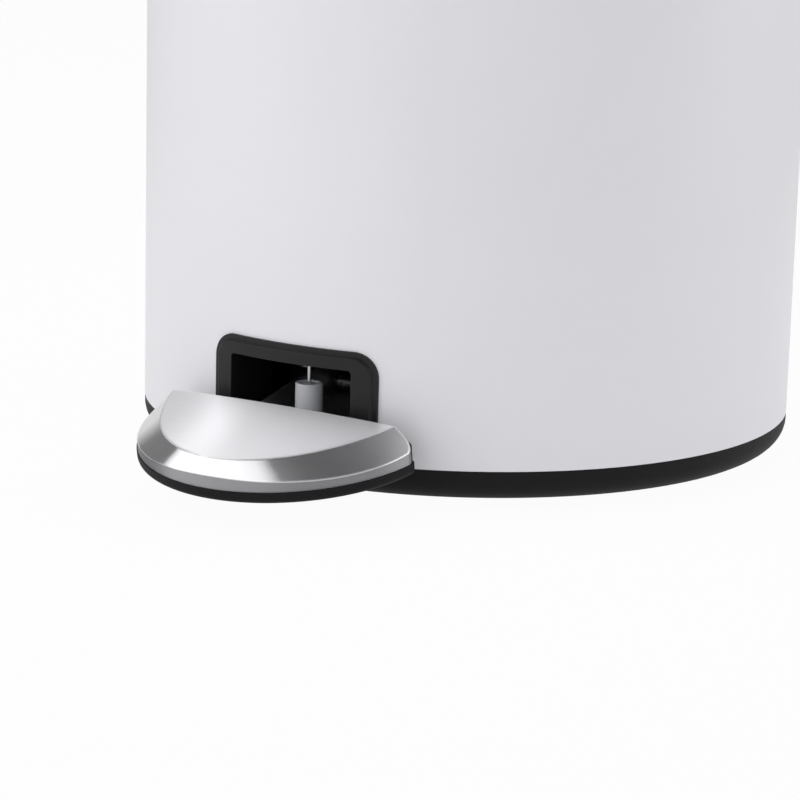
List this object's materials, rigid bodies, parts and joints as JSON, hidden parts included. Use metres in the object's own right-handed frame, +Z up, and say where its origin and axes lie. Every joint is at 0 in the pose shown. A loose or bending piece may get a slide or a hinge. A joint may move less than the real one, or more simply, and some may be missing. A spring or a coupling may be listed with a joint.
{
  "type": "pedal trash can",
  "caption": "Round foot-pedal trash can: painted steel body, hinged domed lid worked by a lever and lift rod, damper, and a lift-out bucket with a bail",
  "frame": {"origin": "On the can's vertical axis at floor level, the middle of the rubber ring it stands on.", "axes": "+Z up, -Y towards the pedal and the person using it, +Y towards the lid hinge, +X to the right of a person facing the pedal."},
  "size_m": [0.2524, 0.3252, 0.3993],
  "materials": {
    "body_paint": "satin white powder coat",
    "black_plastic": "fine moulded grain, near black",
    "tough_plastic": "plain moulded nylon, dark",
    "bucket_plastic": "plain moulded polypropylene, dark grey",
    "brushed_steel": "brushed stainless sheet",
    "plain_steel": "bright zinc plate",
    "screw_steel": "zinc plated screws",
    "pale_nylon": "natural nylon, slightly grey",
    "dark_rubber": "dull rubber"
  },
  "bodies": {
    "can": {"body_shell": "body_paint", "base_ring": "black_plastic", "base_plate": "black_plastic", "foot_ring": "dark_rubber", "pedal_bezel": "black_plastic", "top_collar": "black_plastic", "collar_bumpers": "dark_rubber", "axle_pin": "plain_steel", "axle_caps": "tough_plastic", "axle_screws": "screw_steel", "rod_guides": "pale_nylon", "hinge_housing": "black_plastic", "hinge_pin": "plain_steel", "hinge_screws": "screw_steel"},
    "pedal": {"pedal_cover": "brushed_steel", "pedal_tray": "black_plastic", "pedal_lever": "plain_steel", "lever_bushes": "tough_plastic", "pedal_screws": "screw_steel", "damper_barrel": "pale_nylon", "damper_seal": "pale_nylon", "damper_spring": "plain_steel"},
    "damper": {"damper_rod": "plain_steel", "damper_piston": "pale_nylon"},
    "lifter": {"lift_rod": "plain_steel", "lift_foot": "pale_nylon", "lift_fork": "pale_nylon"},
    "lid": {"lid_shell": "body_paint", "lid_liner": "black_plastic", "lid_bracket": "tough_plastic", "crank_pin": "plain_steel", "lid_screws": "screw_steel"},
    "bucket": {"inner_bucket": "bucket_plastic"},
    "bail": {"bail_wire": "plain_steel", "bail_grip": "tough_plastic"}
  },
  "joints": [
    {"name": "lid_open", "type": "hinge", "parent": "can", "child": "lid", "pos_m": [0, 0.133, 0.349], "axis": [-1, 0, 0], "range_deg": [0, 73]},
    {"name": "pedal_press", "type": "hinge", "parent": "can", "child": "pedal", "pos_m": [0, -0.065, 0.029], "axis": [1, 0, 0], "range_deg": [0, 4.31]},
    {"name": "lifter_rise", "type": "slide", "parent": "can", "child": "lifter", "axis": [0, 0, 1], "range_m": [0, 0.0137]},
    {"name": "damper_stroke", "type": "slide", "parent": "pedal", "child": "damper", "axis": [0, 0, 1], "range_m": [0, 0.00356], "deforming": ["damper_spring"]},
    {"name": "bucket_lift", "type": "slide", "parent": "can", "child": "bucket", "axis": [0, 0, 1], "range_m": [0, 0.004]},
    {"name": "bail_swing", "type": "hinge", "parent": "bucket", "child": "bail", "pos_m": [0, 0, 0.3527], "axis": [-1, 0, 0], "range_deg": [0, 6]}
  ],
  "couplings": [
    {"joint": "pedal_press", "follows": "lid_open", "ratio": 0.058986},
    {"joint": "lifter_rise", "follows": "lid_open", "m_per_rad": 0.010738},
    {"joint": "damper_stroke", "follows": "lid_open", "m_per_rad": 0.002786}
  ]
}
